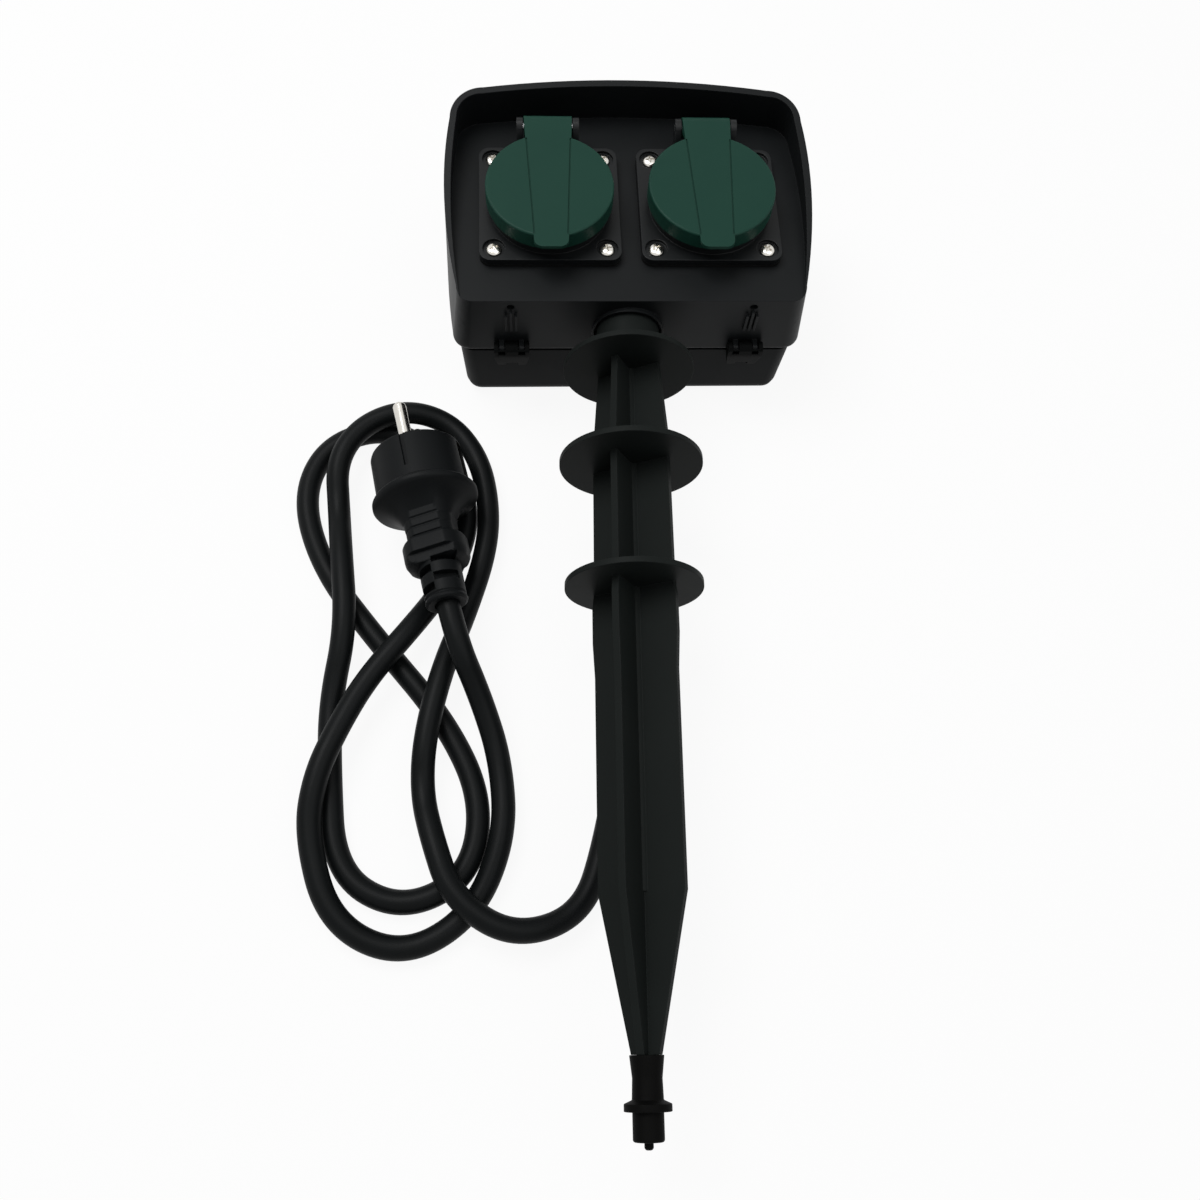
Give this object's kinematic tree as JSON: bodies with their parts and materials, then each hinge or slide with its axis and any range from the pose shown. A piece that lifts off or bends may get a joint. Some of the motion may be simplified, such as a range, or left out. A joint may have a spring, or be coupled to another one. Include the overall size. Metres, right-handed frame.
{
  "type": "garden socket spike",
  "caption": "Ground spike with a hooded housing that carries flap-lid outdoor sockets and a timer behind a hinged rear cover, with a rubber cord and earthed plug.",
  "frame": {"origin": "centre of the rear cover's flat back, halfway up the housing, on the surface that the part lies on", "axes": "+Z out of the sockets, +Y from the spike towards the top of the rain hood, +X to the right seen from the front"},
  "size_m": [0.1907, 0.3558, 0.074],
  "materials": {
    "housing_black": "fine moulded texture, satin black",
    "cover_black": "fine moulded texture, satin black",
    "latch_black": "smooth moulded black",
    "flange_black": "smooth moulded black",
    "lid_green": "satin dark green",
    "spike_black": "satin black",
    "cap_dark": "soft dark plastic",
    "seal_rubber": "soft black rubber",
    "cord_rubber": "matte black rubber sheath",
    "plug_rubber": "matte black rubber moulding",
    "steel": "zinc plated steel",
    "steel_black": "black oxidised steel",
    "nickel": "nickel plated brass",
    "brass": "plain brass",
    "carrier_grey": "grey insulating plastic",
    "panel_grey": "plain moulded panel",
    "timer_grey": "light grey plastic",
    "dial_white": "white plastic",
    "tappet_green": "green plastic",
    "terminal_white": "white plastic",
    "wire_blue": "insulated wire"
  },
  "bodies": {
    "housing": {"front_housing": "housing_black", "cover_gasket": "seal_rubber", "cover_hinge_pins": "steel", "partition_panel": "panel_grey", "panel_screws": "steel", "timer_case": "timer_grey", "dial_screw": "steel", "timer_motor": "steel", "timer_screws": "steel", "terminal_block": "terminal_white", "terminal_screws": "steel", "supply_wires": "wire_blue", "link_wires": "wire_blue", "cord_gland": "plug_rubber", "cord_clamp": "panel_grey", "clamp_screws": "steel", "cord": "cord_rubber", "plug_body": "plug_rubber", "plug_relief": "plug_rubber", "plug_pins": "nickel", "plug_earths": "brass", "latch_pin_left": "steel_black", "socket_flange_left": "flange_black", "flange_gasket_left": "seal_rubber", "flange_screws_left": "nickel", "contact_carrier_left": "carrier_grey", "pin_contacts_left": "brass", "earth_clips_left": "brass", "lid_pin_left": "steel", "lid_spring_left": "steel", "latch_pin_right": "steel_black", "socket_flange_right": "flange_black", "flange_gasket_right": "seal_rubber", "flange_screws_right": "nickel", "contact_carrier_right": "carrier_grey", "pin_contacts_right": "brass", "earth_clips_right": "brass", "lid_pin_right": "steel", "lid_spring_right": "steel"},
    "lid_left": {"lid_left": "lid_green", "lid_seal_left": "seal_rubber"},
    "lid_right": {"lid_right": "lid_green", "lid_seal_right": "seal_rubber"},
    "rear_cover": {"rear_cover": "cover_black"},
    "latch_left": {"latch_left": "latch_black"},
    "latch_right": {"latch_right": "latch_black"},
    "spike": {"spike": "spike_black", "spike_o_ring": "seal_rubber", "spike_clip": "steel"},
    "tip_cap": {"tip_cap": "cap_dark"},
    "timer_dial": {"timer_dial": "dial_white", "timer_tappets": "tappet_green"},
    "override_switch": {"override_switch": "tappet_green"}
  },
  "joints": [
    {"name": "lid_left_hinge", "type": "hinge", "parent": "housing", "child": "lid_left", "pos_m": [-0.0286, 0.0253, 0.0686], "axis": [-1, 0, 0], "range_deg": [0, 100], "stiffness_Nm_per_rad": 0.006, "springref_deg": -28.65},
    {"name": "lid_right_hinge", "type": "hinge", "parent": "housing", "child": "lid_right", "pos_m": [0.0286, 0.0253, 0.0686], "axis": [-1, 0, 0], "range_deg": [0, 100], "stiffness_Nm_per_rad": 0.006, "springref_deg": -28.65},
    {"name": "rear_cover_hinge", "type": "hinge", "parent": "housing", "child": "rear_cover", "pos_m": [0, 0.0423, 0.0245], "axis": [1, 0, 0], "range_deg": [0, 110]},
    {"name": "latch_left_hinge", "type": "hinge", "parent": "housing", "child": "latch_left", "pos_m": [-0.043, -0.0454, 0.0343], "axis": [-1, 0, 0], "range_deg": [0, 75]},
    {"name": "latch_right_hinge", "type": "hinge", "parent": "housing", "child": "latch_right", "pos_m": [0.043, -0.0454, 0.0343], "axis": [-1, 0, 0], "range_deg": [0, 75]},
    {"name": "spike_swivel", "type": "hinge", "parent": "housing", "child": "spike", "pos_m": [-0.001, -0.0423, 0.0414], "axis": [0.0279, 0.9996, 0], "continuous": true},
    {"name": "tip_cap_slide", "type": "slide", "parent": "spike", "child": "tip_cap", "axis": [-0.0279, -0.9996, 0], "range_m": [0, 0.022]},
    {"name": "timer_dial_turn", "type": "hinge", "parent": "housing", "child": "timer_dial", "pos_m": [0, 0.0057, 0.011], "axis": [0, 0, -1], "continuous": true},
    {"name": "override_switch_slide", "type": "slide", "parent": "housing", "child": "override_switch", "axis": [0, 1, 0], "range_m": [0, 0.006]}
  ]
}
